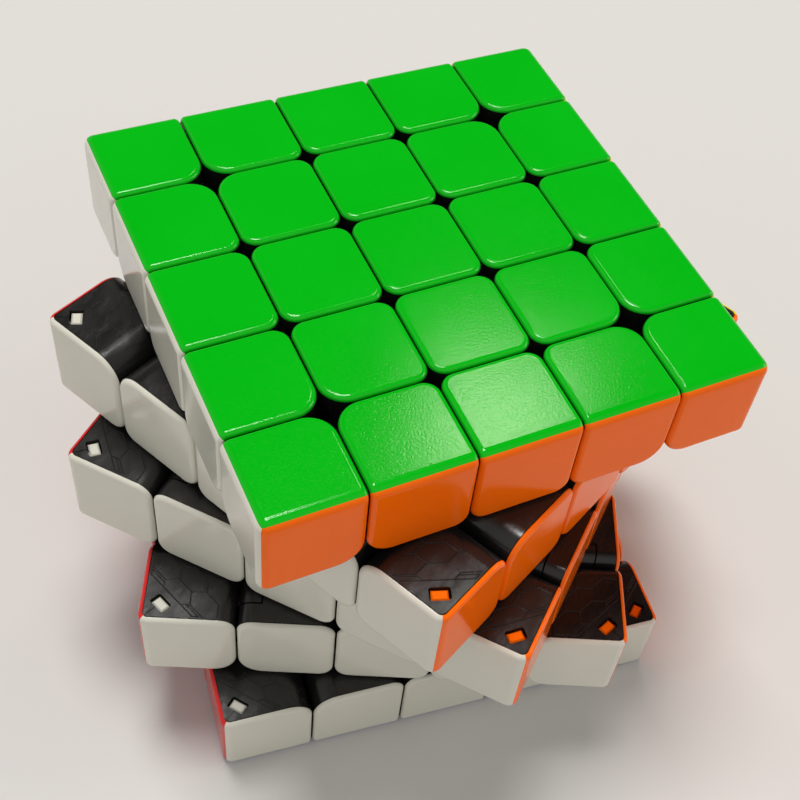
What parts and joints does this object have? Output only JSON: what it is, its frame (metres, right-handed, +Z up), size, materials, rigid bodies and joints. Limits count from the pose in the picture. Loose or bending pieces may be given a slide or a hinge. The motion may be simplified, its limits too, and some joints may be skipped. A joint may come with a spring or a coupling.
{
  "type": "twisty puzzle cube",
  "caption": "Five-layer twisty puzzle cube with glossy coloured caps on black bases, its layers turned into a spiral.",
  "frame": {"origin": "centre of the core, where the turning axes of all layers meet", "axes": "+Z up through the green face, which is the turning axis of the five layers; X and Y square to the middle layer, with orange towards -Y and white towards -X"},
  "size_m": [0.0864, 0.0864, 0.062],
  "materials": {
    "green_plastic": "glossy moulded plastic, green",
    "orange_plastic": "glossy moulded plastic, orange",
    "white_plastic": "glossy moulded plastic, warm white",
    "red_plastic": "glossy moulded plastic, red",
    "yellow_plastic": "glossy moulded plastic, yellow",
    "blue_plastic": "glossy moulded plastic, blue",
    "black_plastic": "satin moulded plastic, black",
    "core_plastic": "satin moulded plastic, dark grey",
    "spring_steel": "plain steel"
  },
  "bodies": {
    "core_and_middle_layer": {"centre_screws": "spring_steel", "centre_springs": "spring_steel", "centre_washers": "spring_steel", "core_ball_lower_half": "core_plastic", "core_ball_upper_half": "core_plastic", "core_cross": "core_plastic", "middle_centre_bases": "black_plastic", "middle_midge_bases": "black_plastic", "middle_orange_side_caps": "orange_plastic", "middle_red_side_caps": "red_plastic", "middle_t_centre_bases": "black_plastic", "middle_white_side_caps": "white_plastic", "middle_yellow_side_caps": "yellow_plastic"},
    "top_layer": {"green_centre_cap": "green_plastic", "green_corner_caps": "green_plastic", "green_midge_caps": "green_plastic", "green_t_centre_caps": "green_plastic", "green_wing_caps": "green_plastic", "green_x_centre_caps": "green_plastic", "top_centre_base": "black_plastic", "top_corner_bases": "black_plastic", "top_midge_bases": "black_plastic", "top_orange_side_caps": "orange_plastic", "top_red_side_caps": "red_plastic", "top_t_centre_bases": "black_plastic", "top_white_side_caps": "white_plastic", "top_wing_bases": "black_plastic", "top_x_centre_bases": "black_plastic", "top_yellow_side_caps": "yellow_plastic"},
    "upper_slice": {"upper_slice_orange_side_caps": "orange_plastic", "upper_slice_red_side_caps": "red_plastic", "upper_slice_t_centre_bases": "black_plastic", "upper_slice_white_side_caps": "white_plastic", "upper_slice_wing_bases": "black_plastic", "upper_slice_x_centre_bases": "black_plastic", "upper_slice_yellow_side_caps": "yellow_plastic"},
    "lower_slice": {"lower_slice_orange_side_caps": "orange_plastic", "lower_slice_red_side_caps": "red_plastic", "lower_slice_t_centre_bases": "black_plastic", "lower_slice_white_side_caps": "white_plastic", "lower_slice_wing_bases": "black_plastic", "lower_slice_x_centre_bases": "black_plastic", "lower_slice_yellow_side_caps": "yellow_plastic"},
    "bottom_layer": {"blue_centre_cap": "blue_plastic", "blue_corner_caps": "blue_plastic", "blue_midge_caps": "blue_plastic", "blue_t_centre_caps": "blue_plastic", "blue_wing_caps": "blue_plastic", "blue_x_centre_caps": "blue_plastic", "bottom_centre_base": "black_plastic", "bottom_corner_bases": "black_plastic", "bottom_midge_bases": "black_plastic", "bottom_orange_side_caps": "orange_plastic", "bottom_red_side_caps": "red_plastic", "bottom_t_centre_bases": "black_plastic", "bottom_white_side_caps": "white_plastic", "bottom_wing_bases": "black_plastic", "bottom_x_centre_bases": "black_plastic", "bottom_yellow_side_caps": "yellow_plastic"}
  },
  "joints": [
    {"name": "top_layer_turn", "type": "hinge", "parent": "core_and_middle_layer", "child": "top_layer", "pos_m": [0, 0, 0], "axis": [0, 0, 1], "continuous": true},
    {"name": "upper_slice_turn", "type": "hinge", "parent": "core_and_middle_layer", "child": "upper_slice", "pos_m": [0, 0, 0], "axis": [0, 0, 1], "continuous": true},
    {"name": "lower_slice_turn", "type": "hinge", "parent": "core_and_middle_layer", "child": "lower_slice", "pos_m": [0, 0, 0], "axis": [0, 0, 1], "continuous": true},
    {"name": "bottom_layer_turn", "type": "hinge", "parent": "core_and_middle_layer", "child": "bottom_layer", "pos_m": [0, 0, 0], "axis": [0, 0, 1], "continuous": true}
  ]
}
